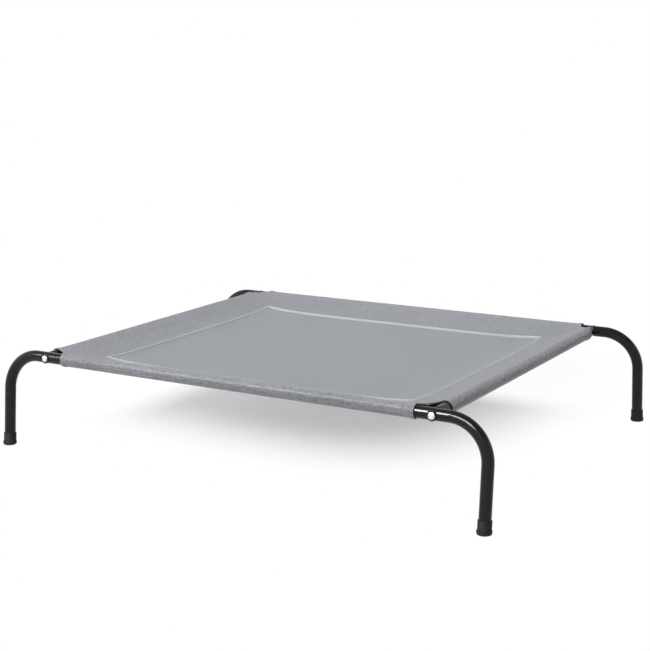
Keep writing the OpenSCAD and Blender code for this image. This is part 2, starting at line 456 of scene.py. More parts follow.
@dataclass(frozen=True)
class ZincPlate:
    """Bright zinc plate with a faint crystal mottle and tool marks."""

    bright: Colour = (0.80, 0.81, 0.83)
    dull: Colour = (0.62, 0.63, 0.65)
    roughness: Pair = (0.18, 0.34)
    mottle_grains: float = 700.0
    mark_grains: Triple = (2500.0, 300.0, 2500.0)
    mark_height: float = 0.00003

    def make(self) -> bpy.types.Material:
        """Builds the material.

        Returns:
            The material.
        """
        finish = Finish("zinc_plate_bright")
        place = finish.place()
        mottle = finish.noise(place, self.mottle_grains, detail=4.0)
        return finish.complete(
            finish.mix(mottle, self.dull, self.bright),
            finish.span(mottle, MID_NOISE, self.roughness),
            finish.bump(finish.noise(place, self.mark_grains), self.mark_height),
            metallic=1.0,
        )


@dataclass(frozen=True)
class WovenCloth:
    """Plain-woven polyester: warp and weft threads, slubs, long streaks, sheen, wear and polish.

    The pairs matt and gloss give the roughness between threads and on their crests, on slack and on
    polished cloth. Grain shows in full where the cloth is polished, and by slack_grain where it is slack.
    """

    name: str
    valley: Colour
    crest: Colour
    worn: Colour
    pitch: float
    slub: float
    streak: float
    mottle: float
    sheen: float
    shine: float = 0.45
    matt: Pair = (0.78, 0.52)
    gloss: Pair = (0.78, 0.52)
    thread_height: float = 0.00022
    slack_grain: float = 1.0
    cross_slub_share: float = 0.5
    cloud: float = 0.35
    thread_dip: float = 0.45
    thread_tone: float = 0.45
    base_tone: float = 0.28
    wear_patches: Pair = (0.35, 1.0)
    slub_relief: float = 0.8
    bump_strength: float = 0.8
    sheen_roughness: float = 0.45
    slub_grains: Triple = (75.0, 520.0, 1.0)
    cross_slub_grains: Triple = (520.0, 110.0, 1.0)
    streak_grains: Triple = (7.0, 260.0, 1.0)
    mottle_grains: Triple = (150.0, 210.0, 1.0)
    cloud_grains: Triple = (9.0, 9.0, 1.0)

    def weave(self, finish: Finish, place: bpy.types.NodeSocket) -> bpy.types.NodeSocket:
        """Height of the threads, where warp and weft take turns on top.

        Args:
            finish: The material.
            place: Coordinates along and across the cloth.

        Returns:
            The height, from 0 between threads to 1 on a thread's crest.
        """
        scale = (1.0 / self.pitch, 1.0 / self.pitch, 1.0)
        mapping = finish.add("ShaderNodeMapping", {"Vector": place, "Scale": scale})
        axes = finish.axes(mapping.outputs[0])
        rounds = []
        cells = []
        for axis in (axes["X"], axes["Y"]):
            across = finish.math("MULTIPLY", finish.math("FRACT", axis), math.pi)
            rounds.append(finish.math("SINE", across))
            cells.append(finish.math("FLOOR", axis))
        half_turns = finish.math("MULTIPLY", finish.math("ADD", *cells), 0.5)
        on_top = finish.math("MULTIPLY", finish.math("FRACT", half_turns), 2.0)
        threads = []
        for own, other in (rounds, rounds[::-1]):
            dip = finish.math("MULTIPLY_ADD", other, self.thread_dip, 1.0 - self.thread_dip)
            threads.append(finish.math("MULTIPLY", own, dip))
        warp, weft = threads
        return finish.math("MULTIPLY_ADD", on_top, finish.math("SUBTRACT", weft, warp), warp)

    def make(self) -> bpy.types.Material:
        """Builds the material.

        Returns:
            The material.
        """
        finish = Finish(self.name)
        place = finish.cloth_place()
        polish = finish.share(POLISH)
        weave = self.weave(finish, place)
        slub = finish.noise(place, self.slub_grains, detail=3.0)
        mottle = finish.noise(place, self.mottle_grains, detail=4.0)
        grains = (
            (slub, self.slub),
            (finish.noise(place, self.cross_slub_grains), self.cross_slub_share * self.slub),
            (finish.noise(place, self.streak_grains), self.streak),
            (mottle, self.mottle),
            (finish.noise(place, self.cloud_grains, detail=3.0), self.cloud),
        )
        strength = finish.math("MULTIPLY_ADD", polish, 1.0 - self.slack_grain, self.slack_grain)
        tone = finish.math("MULTIPLY_ADD", weave, self.thread_tone, self.base_tone)
        for grain, amount in grains:
            part = finish.math("MULTIPLY", finish.math("SUBTRACT", grain, NOISE_MEAN), amount)
            tone = finish.math("MULTIPLY_ADD", part, strength, tone)
        held = finish.math("MAXIMUM", finish.math("MINIMUM", tone, 1.0), 0.0)
        clean = finish.mix(held, self.valley, self.crest)
        patches = finish.span(mottle, MID_NOISE, self.wear_patches)
        worn = finish.math("MULTIPLY", finish.share(WEAR), patches)
        matt, gloss = (finish.span(weave, (0.0, 1.0), ends) for ends in (self.matt, self.gloss))
        thread = finish.math("MULTIPLY_ADD", slub, self.slub_relief, weave)
        return finish.complete(
            finish.mix(worn, clean, self.worn),
            finish.math("MULTIPLY_ADD", polish, finish.math("SUBTRACT", gloss, matt), matt),
            finish.bump(thread, self.thread_height, self.bump_strength),
            sheen_weight=self.sheen,
            sheen_roughness=self.sheen_roughness,
            specular_ior_level=self.shine,
        )


@dataclass(frozen=True)
class SewingThread:
    """Twisted polyester sewing thread."""

    name: str
    shade: Colour
    light: Colour
    roughness: Pair = (0.45, 0.65)
    twist_grains: float = 2600.0
    twist_height: float = 0.00010
    sheen: float = 0.2

    def make(self) -> bpy.types.Material:
        """Builds the material.

        Returns:
            The material.
        """
        finish = Finish(self.name)
        twist = finish.noise(finish.place(), self.twist_grains)
        return finish.complete(
            finish.mix(twist, self.shade, self.light),
            finish.span(twist, MID_NOISE, self.roughness),
            finish.bump(twist, self.twist_height),
            sheen_weight=self.sheen,
        )


def mesh_piece(
    name: str, points: np.ndarray, faces: Sequence[Sequence[int]], crease_deg: float
) -> bpy.types.Object:
    """A smooth-shaded mesh piece that rides on the cot.

    Args:
        name: The piece's name.
        points: Its points, in metres.
        faces: Its faces, as lists of point numbers.
        crease_deg: Edges that turn by more than this stay sharp.

    Returns:
        The new object.
    """
    mesh = bpy.data.meshes.new(name)
    mesh.from_pydata(points.reshape(-1, 3).tolist(), [], faces)
    mesh.polygons.foreach_set("use_smooth", np.ones(len(mesh.polygons), bool))
    mesh.set_sharp_from_angle(angle=math.radians(crease_deg))
    piece = bpy.data.objects.new(name, mesh)
    bpy.context.scene.collection.objects.link(piece)
    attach(piece, BODY)
    return piece


def dress(piece: bpy.types.Object, finish: bpy.types.Material, slot: Slot) -> None:
    """Gives a new piece its finish, and reports the piece.

    Args:
        piece: The piece.
        finish: Its material.
        slot: The record's slot that the finish stands for.
    """
    piece.data.materials.append(finish)
    LOG.info("%s: %d faces in %s", piece.name, len(piece.data.polygons), slot.value)


def map_cloth(piece: bpy.types.Object, flat: np.ndarray) -> None:
    """Gives each face corner its place on the flat cloth.

    Args:
        piece: The piece.
        flat: Places of its points along and across the cloth, in metres.
    """
    corner_points = np.zeros(len(piece.data.loops), np.int32)
    piece.data.loops.foreach_get("vertex_index", corner_points)
    layer = piece.data.uv_layers.new(name=CLOTH_MAP)
    layer.data.foreach_set("uv", flat.reshape(-1, 2)[corner_points].astype(np.float32).ravel())


def give_shares(piece: bpy.types.Object, name: str, shares: np.ndarray) -> None:
    """Gives each point its share of a layer.

    Args:
        piece: The piece.
        name: The layer, such as wear.
        shares: The points' shares, from 0 to 1.
    """
    layer = piece.data.attributes.new(name, "FLOAT", "POINT")
    layer.data.foreach_set("value", shares.astype(np.float32).ravel())


@dataclass(frozen=True)
class SlingSizes:
    """Sizes of the sling and its rails, as in the part's source."""

    half_x: float = 0.419
    half_y: float = 0.3725
    rail_height: float = 0.186
    sleeve_r: float = 0.01185
    cloth_t: float = 0.0009
    layer_gap: float = 0.00015
    stitch_inset: float = 0.028
    seam_inset: float = 0.082
    setback: float = 0.036
    drop: float = 0.036
    sag_power: float = 6.0
    slope_blend: float = 8.0
    lap: float = 0.012
    welt_w: float = 0.005
    welt_h: float = 0.0022

    def panel_reach(self) -> Pair:
        """Half lengths of the centre panel along X and Y, with its lap."""
        inset = self.seam_inset - self.lap
        return self.half_x - inset, self.half_y - inset

    def share(self, distance: np.ndarray, held: float) -> np.ndarray:
        """Share of the sag at a distance from the middle, where the cloth is held at another."""
        return 1.0 - (np.abs(distance) / held) ** self.sag_power

    def crown_slope(self, share: np.ndarray, half: float) -> np.ndarray:
        """Slope at which the cloth leaves the crown of a rail."""
        return self.sag_power * self.drop * share / half

    def height(self, x: np.ndarray, y: np.ndarray, reach_x: float, reach_y: float) -> np.ndarray:
        """Height of the borders' middle surface over the rails' axes.

        Args:
            x: Places along X.
            y: Places along Y.
            reach_x: Where the cloth is held along X.
            reach_y: Where the cloth is held along Y.

        Returns:
            The heights.
        """
        share_x = self.share(x, reach_x)
        share_y = self.share(y, reach_y)
        over_y = np.maximum(self.crown_slope(share_x, reach_y), 0.0)
        over_x = np.maximum(self.crown_slope(share_y, reach_x), 0.0)
        slope = (over_x**self.slope_blend + over_y**self.slope_blend) ** (1.0 / self.slope_blend)
        return self.sleeve_r * np.hypot(1.0, slope) - self.drop * share_x * share_y

    def world_height(self, x: np.ndarray, y: np.ndarray) -> np.ndarray:
        """Height of the borders' middle surface over the floor."""
        return self.rail_height + self.height(x, y, self.half_x, self.half_y)


@dataclass
class ClothGrid:
    """A cut of cloth as a grid: rows of points on its middle surface, with its thickness and flat places."""

    name: str
    middle: np.ndarray
    thick: np.ndarray
    flat: np.ndarray
    wear: np.ndarray
    polish: np.ndarray
    crease_deg: float = 55.0

    def normals(self) -> np.ndarray:
        """Directions out of the cloth's upper side."""
        down_rows, along_rows = (np.gradient(self.middle, axis=axis) for axis in (0, 1))
        return unit(np.cross(along_rows, down_rows))

    def upper(self) -> np.ndarray:
        """Points of the upper side."""
        return self.middle + self.normals() * self.thick[..., None] / 2.0

    def lower(self) -> np.ndarray:
        """Points of the lower side."""
        return self.middle - self.normals() * self.thick[..., None] / 2.0

    def faces(self) -> list[list[int]]:
        """Faces of both sides and of the cut edge all round.

        Returns:
            The faces, as lists of point numbers, where the lower side's points follow the upper side's.
        """
        count = self.thick.size
        index = np.arange(count).reshape(self.thick.shape)
        corners = (index[:-1, :-1], index[:-1, 1:], index[1:, 1:], index[1:, :-1])
        top = np.stack(corners, axis=-1).reshape(-1, 4)
        rim = np.concatenate([index[0, :-1], index[:-1, -1], index[-1, :0:-1], index[:0:-1, 0]])
        after = np.roll(rim, -1)
        edge = np.stack([rim, rim + count, after + count, after], axis=-1)
        return np.concatenate([top, top[:, ::-1] + count, edge]).tolist()

    def build(self) -> bpy.types.Object:
        """Makes the piece.

        Returns:
            The piece, without a finish.
        """
        points = np.concatenate([self.upper().reshape(-1, 3), self.lower().reshape(-1, 3)])
        piece = mesh_piece(self.name, points, self.faces(), self.crease_deg)
        map_cloth(piece, np.concatenate([self.flat.reshape(-1, 2)] * 2))
        for name, shares in ((WEAR, self.wear), (POLISH, self.polish)):
            give_shares(piece, name, np.concatenate([shares.ravel()] * 2))
        return piece


@dataclass
class StitchRow:
    """A row of stitches along a line on the cloth.

    Girths and rises run from end to end of a stitch, in radii of the thread.
    """

    line: np.ndarray
    normals: np.ndarray
    pitch: float = 0.0042
    length: float = 0.0033
    radius: float = 0.00032
    sides: int = 6
    girths: tuple[float, ...] = (0.45, 0.95, 1.0, 0.95, 0.45)
    rises: tuple[float, ...] = (-0.5, 0.45, 0.7, 0.45, -0.5)

    def stitches(self, first: int) -> tuple[np.ndarray, list[list[int]]]:
        """Points and faces of all the row's stitches.

        Args:
            first: The number of the row's first point.

        Returns:
            The points, and the faces as lists of point numbers.
        """
        travel = travelled(self.line)
        starts = np.arange(0.5 * self.pitch, travel[-1] - self.length, self.pitch)
        at = starts[:, None] + np.linspace(0.0, self.length, len(self.girths))
        centre = read_along(at, travel, self.line)
        up = unit(read_along(at, travel, self.normals))
        ahead = unit(centre[:, -1] - centre[:, 0])[:, None, :]
        beside = unit(np.cross(ahead, up))
        turn = FULL_TURN * np.arange(self.sides) / self.sides
        ring = np.cos(turn)[:, None] * beside[:, :, None, :] + np.sin(turn)[:, None] * up[:, :, None, :]
        girth, rise = (self.radius * np.array(shares) for shares in (self.girths, self.rises))
        core = centre + up * rise[None, :, None]
        points = core[:, :, None, :] + ring * girth[None, :, None, None]
        one = np.arange(len(girth) * self.sides).reshape(-1, self.sides)
        beyond = np.roll(one, -1, axis=1)
        skin = np.stack([one[:-1], one[1:], beyond[1:], beyond[:-1]], axis=-1).reshape(-1, 4)
        faces = []
        for start in first + one.size * np.arange(len(starts)):
            faces += (skin + start).tolist()
            faces += [(one[0] + start).tolist(), (one[-1][::-1] + start).tolist()]
        return points.reshape(-1, 3), faces


def sew(name: str, rows: Sequence[StitchRow]) -> bpy.types.Object:
    """Joins rows of stitches into one piece.

    Args:
        name: The piece's name.
        rows: The rows.

    Returns:
        The new object.
    """
    points = []
    faces = []
    count = 0
    for row in rows:
        row_points, row_faces = row.stitches(count)
        points.append(row_points)
        faces += row_faces
        count += len(row_points)
    return mesh_piece(name, np.concatenate(points), faces, NO_CREASE_DEG)


@dataclass
class CentrePanel:
    """The fine cloth that is lain on, lapped under the borders all round."""

    sling: SlingSizes
    cells_x: int = 220
    cells_y: int = 190

    def grid(self) -> ClothGrid:
        """Lays out the panel's points.

        Returns:
            The panel's grid.
        """
        size = self.sling
        sides = zip(size.panel_reach(), (self.cells_x, self.cells_y))
        x, y = np.meshgrid(*(np.linspace(-reach, reach, cells + 1) for reach, cells in sides))
        z = size.world_height(x, y) - size.cloth_t - size.layer_gap
        middle = np.stack([x, y, z], axis=-1)
        none = np.zeros_like(x)
        thick = np.full_like(x, size.cloth_t)
        return ClothGrid("centre_panel_cloth", middle, thick, middle[..., :2], none, none)

    def build(self, finish: bpy.types.Material, neighbours: Sequence[str]) -> None:
        """Args:
            finish: The panel's cloth.
            neighbours: The borders that hold it. Not used.
        """
        panel = self.grid().build()
        dress(panel, finish, Slot.PANEL)
        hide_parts("centre_panel")
        flat = tuple(2.0 * reach for reach in self.sling.panel_reach())


@dataclass(frozen=True)
class Puckers:
    """Small puckers that a stitch line pulls into the cloth, with a dent along the line itself.

    The pairs are ranges that each pucker's sizes are drawn from.
    """

    step: Pair = (0.007, 0.024)
    width: Pair = (0.0022, 0.0046)
    tilt: Pair = (-0.7, 0.7)
    reach: Pair = (0.007, 0.013)
    shift: Pair = (-0.010, 0.002)
    share: Pair = (0.3, 1.0)
    height: float = 0.0008
    dent_w: float = 0.0028
    dent_share: float = 0.55

    def relief(
        self, x: np.ndarray, inset: np.ndarray, half: float, line: float, dice: np.random.Generator
    ) -> np.ndarray:
        """Works out the puckers of one strip.

        Args:
            x: Places along the rail.
            inset: Insets from the rail.
            half: Half the length of the stitch line.
            line: The stitch line's inset.
            dice: What the sizes are drawn with.

        Returns:
            The heights of the puckers.
        """
        total = np.zeros_like(x)
        place = -half
        while place < half:
            place += dice.uniform(*self.step)
            width = dice.uniform(*self.width)
            tilt = dice.uniform(*self.tilt)
            reach = dice.uniform(*self.reach)
            middle = line + dice.uniform(*self.shift)
            share = dice.uniform(*self.share)
            ridge = bell(x - place - tilt * (inset - middle), width)
            total += share * ridge * bell(inset - middle, reach)
        return self.height * (total - self.dent_share * bell(inset - line, self.dent_w))


@dataclass(frozen=True)
class TensionFolds:
    """Long shallow folds that tension draws from the corners along a strip.

    The pairs are ranges that each fold's sizes are drawn from, apart from rise, which says where along
    the strip the folds come up.
    """

    starts: tuple[float, ...] = (0.026, 0.041, 0.058)
    lean: Pair = (0.02, 0.16)
    height: Pair = (0.0004, 0.0009)
    width: Pair = (0.0045, 0.0075)
    length: Pair = (0.10, 0.19)
    rise: Pair = (0.02, 0.06)

    def relief(
        self, x: np.ndarray, inset: np.ndarray, half: float, dice: np.random.Generator
    ) -> np.ndarray:
        """Works out the folds of one strip.

        Args:
            x: Places along the rail.
            inset: Insets from the rail.
            half: Half the length of the rail.
            dice: What the sizes are drawn with.

        Returns:
            The heights of the folds.
        """
        total = np.zeros_like(x)
        for end in (-1.0, 1.0):
            from_end = half - end * x
            for start in self.starts:
                lean = dice.uniform(*self.lean)
                height = dice.uniform(*self.height)
                width = dice.uniform(*self.width)
                length = dice.uniform(*self.length)
                fold = bell(inset - start - lean * (from_end - start), width)
                total += height * fold * bell(from_end, length) * smooth_step(*self.rise, from_end)
        return total


@dataclass
class BorderStrip:
    """A border strip: a sleeve round a rail and a slope down to the seam of the centre panel.

    Its rows run from the stitch line under the deck, round the rail and over its crown, along the
    diagonal cuts at the corners, and down to the seam. The rows of pucker_rows and polish_rows count
    from the crown.
    """

    sling: SlingSizes
    side: Side
    longer_ends: Pair
    lower_rows: int = 12
    wrap_rows: int = 34
    cut_rows: int = 9
    slope_rows: int = 34
    end_cells: int = 26
    middle_cells: int = 210
    end_length: float = 0.040
    mitre_gap: float = 0.0002
    hem_w: float = 0.0075
    hem_rise: float = 0.0009
    hem_edge: float = 0.0006
    hem_stitch_inset: float = 0.0018
    hem_stitch_pitch: float = 0.0036
    hem_stitch_length: float = 0.0028
    mouth_rise: float = 0.0008
    mouth_length: float = 0.020
    mouth_power: float = 1.5
    mouth_climb: Pair = (0.30, 0.95)
    mouth_fade: Pair = (0.010, 0.045)
    puckers: Puckers = Puckers()
    pucker_rows: Pair = (-6.0, 2.0)
    folds: TensionFolds = TensionFolds()
    crown_wear: float = 0.12
    crown_wear_rows: float = 7.0
    hem_wear: float = 0.5
    hem_wear_w: float = 0.0015
    polish_rows: Pair = (-12.0, -5.0)
    cloth_shift: float = 2.0
    under_stitch_row: int = 1
    hem_stitch_margin: int = 2
    seed: int = 41

    def __post_init__(self) -> None:
        """Takes the strip's lengths from its side."""
        size = self.sling
        self.long_side = self.side in (Side.FRONT, Side.REAR)
        self.along = size.half_x if self.long_side else size.half_y
        self.across = size.half_y if self.long_side else size.half_x
        self.sleeve = self.along - size.setback
        self.half_cut = size.setback / 2.0
        self.word = self.side.name.lower()
        self.dice = np.random.default_rng(self.seed + self.side.value)
        self.crown_row = self.lower_rows + self.wrap_rows
        self.slope_row = self.crown_row + self.cut_rows
        self.rows = np.arange(self.slope_row + self.slope_rows + 1)[:, None]

    def columns(self) -> np.ndarray:
        """Spreads the points of a row, closer together near the mouths.

        Returns:
            The points' shares of the row's half length.
        """
        end = 1.0 - self.end_length / self.sleeve
        ends = np.linspace(end, 1.0, self.end_cells + 1)[1:]
        return np.concatenate([-ends[::-1], np.linspace(-end, end, self.middle_cells + 1), ends])

    def row_step(self, first: float, last: float) -> np.ndarray:
        """Rises smoothly from 0 to 1 between two rows, counted from the crown."""
        return smooth_step(self.crown_row + first, self.crown_row + last, self.rows)

    def sleeve_reach(self, s: np.ndarray, cut: float) -> np.ndarray:
        """Half length of a row from the mouths, at a cut of 0, out to the ends of the mitres, at 1."""
        longer = np.where(s < 0.0, *self.longer_ends)
        return self.sleeve + longer + cut * (self.half_cut - longer)

    def mitre_reach(self, inset: np.ndarray | float) -> np.ndarray | float:
        """Half length of a row that ends at the mitres."""
        return self.along - inset - self.mitre_gap / 2.0

    def surface(self, x: np.ndarray, inset: np.ndarray) -> np.ndarray:
        """Height of the sling over the rail's axis."""
        return self.sling.height(x, self.across - inset, self.along, self.across)

    def section(self) -> tuple[np.ndarray, np.ndarray, np.ndarray]:
        """The smooth strip in its own frame.

        Returns:
            Places along the rail, insets from it and heights over it, one row for each line of cloth.
        """
        size = self.sling
        s = self.columns()
        mouth = self.sleeve_reach(s, 0.0)
        x = s * mouth
        lean = np.arctan(size.crown_slope(size.share(x, self.along), self.across))
        stitch_z = self.surface(x, np.full_like(x, size.stitch_inset)) - size.cloth_t - size.layer_gap
        low = np.arctan2(stitch_z, size.stitch_inset)
        low -= np.arccos(size.sleeve_r / np.hypot(size.stitch_inset, stitch_z))
        # Below and outside the rail to its crown, and on to where the cloth leaves it
        high = -0.75 * FULL_TURN - lean
        leave = size.sleeve_r * np.sin(lean)
        tangent = size.sleeve_r * np.cos(low)
        rows = []
        for q in np.arange(self.lower_rows) / self.lower_rows:
            inset = size.stitch_inset + q * (tangent - size.stitch_inset)
            row_x = s * np.minimum(mouth + inset - tangent, self.mitre_reach(inset))
            rows.append((row_x, inset, stitch_z + q * (size.sleeve_r * np.sin(low) - stitch_z)))
        for q in np.arange(self.wrap_rows) / self.wrap_rows:
            angle = low + q * (high - low)
            rows.append((x, size.sleeve_r * np.cos(angle), size.sleeve_r * np.sin(angle)))
        for q in np.arange(self.cut_rows) / self.cut_rows:
            row_x = s * self.sleeve_reach(s, q)
            inset = leave + (self.half_cut - leave) * q
            rows.append((row_x, inset, self.surface(row_x, inset)))
        for level in np.linspace(self.half_cut, size.seam_inset, self.slope_rows + 1):
            row_x = s * self.mitre_reach(level)
            inset = np.full_like(x, level)
            rows.append((row_x, inset, self.surface(row_x, inset)))
        return tuple(np.stack(part) for part in zip(*rows))

    def mouth_distance(self, x: np.ndarray, inset: np.ndarray) -> np.ndarray:
        """Distance of each point from the hemmed edge at the nearer end of the strip.

        Args:
            x: Places along the rail.
            inset: Insets from the rail.

        Returns:
            The distances.
        """
        ends = np.where(x < 0.0, -x.min(axis=1, keepdims=True), x.max(axis=1, keepdims=True))
        diagonal = math.sqrt(0.5)
        square = 1.0 - self.row_step(0.0, self.cut_rows) * (1.0 - diagonal)
        from_end = (ends - np.abs(x)) * square
        from_cut = (self.sleeve + inset - np.abs(x)) * diagonal
        return np.where(self.rows < self.slope_row, from_end, from_cut)

    def mouth_lift(self, away: np.ndarray, inset: np.ndarray) -> np.ndarray:
        """How far the cloth stands off the rail beside the open mouth of the sleeve.

        Args:
            away: Distances from the hemmed edge.
            inset: Insets from the rail.

        Returns:
            The lifts.
        """
        first, last = (self.lower_rows + share * self.wrap_rows for share in self.mouth_climb)
        climb = smooth_step(first, last, self.rows)
        fade = 1.0 - smooth_step(*self.mouth_fade, inset) * (self.rows >= self.crown_row)
        return self.mouth_rise * climb * fade * np.exp(-((away / self.mouth_length) ** self.mouth_power))

    def relief(self, x: np.ndarray, inset: np.ndarray) -> np.ndarray:
        """Puckers and folds on the upper side of the deck.

        Args:
            x: Places along the rail.
            inset: Insets from the rail.

        Returns:
            Their heights.
        """
        puckers = self.puckers.relief(x, inset, self.sleeve, self.sling.stitch_inset, self.dice)
        folds = self.folds.relief(x, inset, self.along, self.dice)
        return self.row_step(*self.pucker_rows) * puckers + self.row_step(0.0, self.cut_rows) * folds

    def wear_share(self, away: np.ndarray) -> np.ndarray:
        """Wear on the crown of the sleeve and along the hemmed edges."""
        crown = bell(self.rows - self.crown_row, self.crown_wear_rows)
        return np.clip(self.crown_wear * crown + self.hem_wear * bell(away, self.hem_wear_w), 0.0, 1.0)

    def grid(self) -> ClothGrid:
        """Lays out the strip's points, in place round the cot.

        Returns:
            The strip's grid.
        """
        size = self.sling
        x, inset, z = self.section()
        away = self.mouth_distance(x, inset)
        hem = 1.0 - smooth_step(self.hem_w - self.hem_edge, self.hem_w + self.hem_edge, away)
        rise = self.mouth_lift(away, inset) + self.relief(x, inset) + self.hem_rise * hem / 2.0
        strip = ClothGrid(
            name=f"{self.word}_border_cloth",
            middle=np.stack([x, inset - self.across, z + size.rail_height], axis=-1),
            thick=size.cloth_t + self.hem_rise * hem,
            flat=np.zeros((*x.shape, 2)),
            wear=self.wear_share(away),
            polish=np.broadcast_to(1.0 - self.row_step(*self.polish_rows), x.shape),
        )
        strip.middle = strip.middle + strip.normals() * rise[..., None]
        shift = self.cloth_shift * self.side.value
        strip.flat = np.stack([x + shift, travelled(strip.middle)], axis=-1)
        spin = Matrix.Rotation(self.side.value * FULL_TURN / 4.0, 3, "Z")
        strip.middle = strip.middle @ np.array(spin).T
        return strip

    def stitch_rows(self, strip: ClothGrid) -> list[StitchRow]:
        """Rows along the sleeve, above and below, and round each hemmed mouth.

        Args:
            strip: The strip's grid.

        Returns:
            The rows.
        """
        size = self.sling
        upper = strip.upper()
        normals = strip.normals()
        step = (size.seam_inset - self.half_cut) / self.slope_rows
        on_top = self.slope_row + round((size.stitch_inset - self.half_cut) / step)
        rows = [StitchRow(upper[row], normals[row]) for row in (on_top, self.under_stitch_row)]
        columns = self.columns()
        hem_share = 1.0 - (self.hem_w - self.hem_stitch_inset) / self.sleeve
        hem = int(np.argmin(np.abs(columns - hem_share)))
        around = slice(self.hem_stitch_margin, self.slope_row + self.hem_stitch_margin)
        for column in (hem, len(columns) - 1 - hem):
            line = upper[around, column], normals[around, column]
            rows.append(StitchRow(*line, self.hem_stitch_pitch, self.hem_stitch_length))
        return rows

    def build(self, finish: bpy.types.Material) -> tuple[str, list[StitchRow]]:
        """Args:
            finish: The borders' cloth.

        Returns:
            The strip's name and the rows of stitches on it.
        """
        strip = self.grid()
        piece = strip.build()
        dress(piece, finish, Slot.BORDER)
        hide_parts(f"{self.word}_border")
        return piece.name, self.stitch_rows(strip)


@dataclass
class SeamWelt:
    """The corded welt along the seam, folded over the borders' cut edge on to the centre panel."""

    sling: SlingSizes
    corner_r: float = 0.0035
    corner_points: int = 7
    step: float = 0.003
    profile_points: int = 15
    panel_foot: float = 0.0014
    fold_end: float = 0.0005
    edge_gap: float = 0.00025
    rest_gap: float = 0.00005
    border_stitch_gap: float = 0.0016
    panel_stitch_gap: float = 0.0032
    stitch_pitch: float = 0.0038
    stitch_length: float = 0.0030
    slope_probe: float = 0.0005
    crease_deg: float = 70.0

    def path(self, inset: float) -> np.ndarray:
        """Points of a rounded oblong, on the borders' middle surface.

        Args:
            inset: The oblong's inset from the rails.

        Returns:
            The points, anticlockwise.
        """
        size = self.sling
        reach = np.array([size.half_x - inset, size.half_y - inset]) - self.corner_r
        quarter_turn = FULL_TURN / 4.0
        corners = []
        for quarter, sign in enumerate(((1, -1), (1, 1), (-1, 1), (-1, -1))):
            turn = quarter_turn * (quarter - 1) + np.linspace(0.0, quarter_turn, self.corner_points)
            corners.append(reach * sign + self.corner_r * np.stack([np.cos(turn), np.sin(turn)], axis=-1))
        loop = np.concatenate([*corners, corners[0][:1]])
        travel = travelled(loop)
        at = np.unique(np.concatenate([np.arange(0.0, travel[-1], self.step), travel[:-1]]))
        x, y = read_along(at, travel, loop).T
        return np.stack([x, y, size.world_height(x, y)], axis=-1)

    def frames(self, line: np.ndarray) -> tuple[np.ndarray, np.ndarray]:
        """Directions along a closed line on the cloth.

        Args:
            line: The line's points.

        Returns:
            Directions up from the cloth and outwards from the panel.
        """
        height = self.sling.world_height
        probe = self.slope_probe
        x, y = line[:, 0], line[:, 1]
        slope_x = (height(x + probe, y) - height(x - probe, y)) / (2.0 * probe)
        slope_y = (height(x, y + probe) - height(x, y - probe)) / (2.0 * probe)
        up = unit(np.stack([-slope_x, -slope_y, np.ones_like(x)], axis=-1))
        ahead = unit(np.roll(line, -1, 0) - np.roll(line, 1, 0))
        return up, unit(np.cross(ahead, up))

    def section(self) -> np.ndarray:
        """The welt's section, anticlockwise from its outer foot.

        Returns:
            Places outwards from the borders' cut edge and heights over their middle surface.
        """
        size = self.sling
        on_border = size.cloth_t / 2.0 + size.layer_gap
        on_panel = self.rest_gap - size.cloth_t / 2.0 - size.layer_gap
        out = np.linspace(size.welt_w, -self.panel_foot, self.profile_points)
        share = (2.0 * out - size.welt_w + self.panel_foot) / (size.welt_w + self.panel_foot)
        foot = on_panel + (on_border - on_panel) * smooth_step(-self.panel_foot, self.fold_end, out)
        dome = np.stack([out, foot + size.welt_h * (1.0 - share**2)], axis=-1)
        notch = np.array([[-self.edge_gap, on_panel], [-self.edge_gap, on_border]])
        return np.concatenate([dome, notch])

    def stitch_rows(self) -> list[StitchRow]:
        """Rows beside the welt, on the borders and on the centre panel.

        Returns:
            The rows.
        """
        size = self.sling
        places = (
            (size.seam_inset - size.welt_w - self.border_stitch_gap, size.cloth_t / 2.0),
            (size.seam_inset + self.panel_stitch_gap, -size.cloth_t / 2.0 - size.layer_gap),
        )
        rows = []
        for inset, level in places:
            line = self.path(inset)
            up = self.frames(line)[0]
            rows.append(StitchRow(line + up * level, up, self.stitch_pitch, self.stitch_length))
        return rows

    def build(self, finish: bpy.types.Material) -> list[StitchRow]:
        """Makes and dresses the welt.

        Args:
            finish: The welt's cover.

        Returns:
            The two rows of stitches beside it.
        """
        line = self.path(self.sling.seam_inset)
        up, out = self.frames(line)
        section = self.section()
        points = line[:, None] + out[:, None] * section[:, :1] + up[:, None] * section[:, 1:]
        shape = points.shape[:2]
        index = np.arange(math.prod(shape)).reshape(shape)
        ahead = np.roll(index, -1, 0)
        corners = (index, ahead, np.roll(ahead, -1, 1), np.roll(index, -1, 1))
        faces = np.stack(corners, axis=-1).reshape(-1, 4).tolist()
        welt = mesh_piece("seam_welt", points, faces, self.crease_deg)
        flat = np.broadcast_arrays(travelled(line)[:, None], travelled(section))
        map_cloth(welt, np.stack(flat, axis=-1))
        for name in (WEAR, POLISH):
            give_shares(welt, name, np.zeros(shape))
        dress(welt, finish, Slot.WELT)
        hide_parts("seam_binding")
        return self.stitch_rows()


